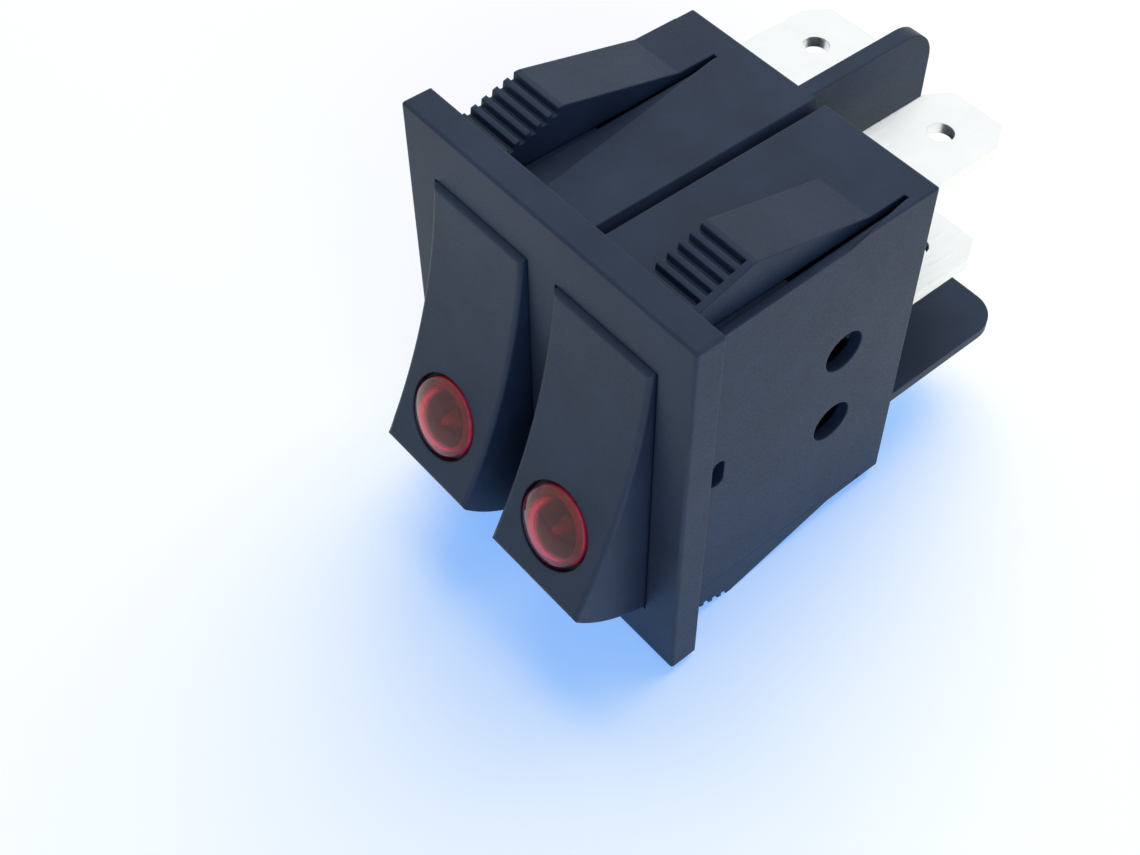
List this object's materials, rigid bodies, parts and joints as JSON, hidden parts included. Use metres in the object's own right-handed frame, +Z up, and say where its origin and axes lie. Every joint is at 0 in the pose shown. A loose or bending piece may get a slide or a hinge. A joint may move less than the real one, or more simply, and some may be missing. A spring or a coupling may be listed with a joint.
{
  "type": "rocker switch",
  "caption": "Snap-in panel rocker switch: side-by-side rockers with red lamp lenses, sprung latch arms, a finned rear and push-on tabs.",
  "frame": {"origin": "middle of the bezel's rear face, where the panel's front face seats", "axes": "+X across both rockers from left to right seen from the front, +Y from the front to the rear, +Z up along the rockers"},
  "size_m": [0.025, 0.0377, 0.031],
  "materials": {
    "housing_plastic": "fine matt, slate black",
    "rocker_plastic": "fine matt, slate black",
    "lens_red": "smooth, translucent red",
    "lamp_glass": "clear",
    "resistor_body": "lacquered tan",
    "lead_wire": "tinned wire",
    "plunger_plastic": "natural nylon",
    "spring_steel": "drawn wire",
    "blade_metal": "silver plated, satin",
    "contact_silver": "silver alloy, satin",
    "plated_brass": "tin plated, bright"
  },
  "bodies": {
    "housing_body": {"housing": "housing_plastic", "fixed_contact_left": "contact_silver", "load_terminal_left": "plated_brass", "supply_terminal_left": "plated_brass", "lamp_terminal_left": "plated_brass", "load_lead_left": "lead_wire", "lamp_lead_left": "lead_wire", "fixed_contact_right": "contact_silver", "load_terminal_right": "plated_brass", "supply_terminal_right": "plated_brass", "lamp_terminal_right": "plated_brass", "load_lead_right": "lead_wire", "lamp_lead_right": "lead_wire"},
    "rocker_body_left": {"rocker_left": "rocker_plastic", "lens_left": "lens_red", "neon_lamp_left": "lamp_glass", "resistor_left": "resistor_body", "resistor_lead_left": "lead_wire", "plunger_spring_left": "spring_steel"},
    "plunger_body_left": {"plunger_left": "plunger_plastic"},
    "blade_body_left": {"contact_blade_left": "blade_metal", "moving_contact_left": "contact_silver"},
    "rocker_body_right": {"rocker_right": "rocker_plastic", "lens_right": "lens_red", "neon_lamp_right": "lamp_glass", "resistor_right": "resistor_body", "resistor_lead_right": "lead_wire", "plunger_spring_right": "spring_steel"},
    "plunger_body_right": {"plunger_right": "plunger_plastic"},
    "blade_body_right": {"contact_blade_right": "blade_metal", "moving_contact_right": "contact_silver"}
  },
  "joints": [
    {"name": "rocker_tilt_left", "type": "hinge", "parent": "housing_body", "child": "rocker_body_left", "pos_m": [-0.00547, 0.0019, 0], "axis": [1, 0, 0], "range_deg": [0, 32], "deforming": ["load_lead_left", "lamp_lead_left"]},
    {"name": "plunger_stroke_left", "type": "slide", "parent": "rocker_body_left", "child": "plunger_body_left", "axis": [0, -0.9613, 0.2756], "range_m": [0, 0.0008], "stiffness_N_per_m": 50, "deforming": ["plunger_spring_left"]},
    {"name": "blade_seesaw_left", "type": "hinge", "parent": "housing_body", "child": "blade_body_left", "pos_m": [-0.00547, 0.00936, 0], "axis": [1, 0, 0], "range_deg": [-14, 0]},
    {"name": "rocker_tilt_right", "type": "hinge", "parent": "housing_body", "child": "rocker_body_right", "pos_m": [0.00547, 0.0019, 0], "axis": [1, 0, 0], "range_deg": [0, 32], "deforming": ["load_lead_right", "lamp_lead_right"]},
    {"name": "plunger_stroke_right", "type": "slide", "parent": "rocker_body_right", "child": "plunger_body_right", "axis": [0, -0.9613, 0.2756], "range_m": [0, 0.0008], "stiffness_N_per_m": 50, "deforming": ["plunger_spring_right"]},
    {"name": "blade_seesaw_right", "type": "hinge", "parent": "housing_body", "child": "blade_body_right", "pos_m": [0.00547, 0.00936, 0], "axis": [1, 0, 0], "range_deg": [-14, 0]}
  ],
  "couplings": [
    {"joint": "blade_seesaw_left", "follows": "rocker_tilt_left", "ratio": -0.4375},
    {"joint": "blade_seesaw_right", "follows": "rocker_tilt_right", "ratio": -0.4375}
  ]
}
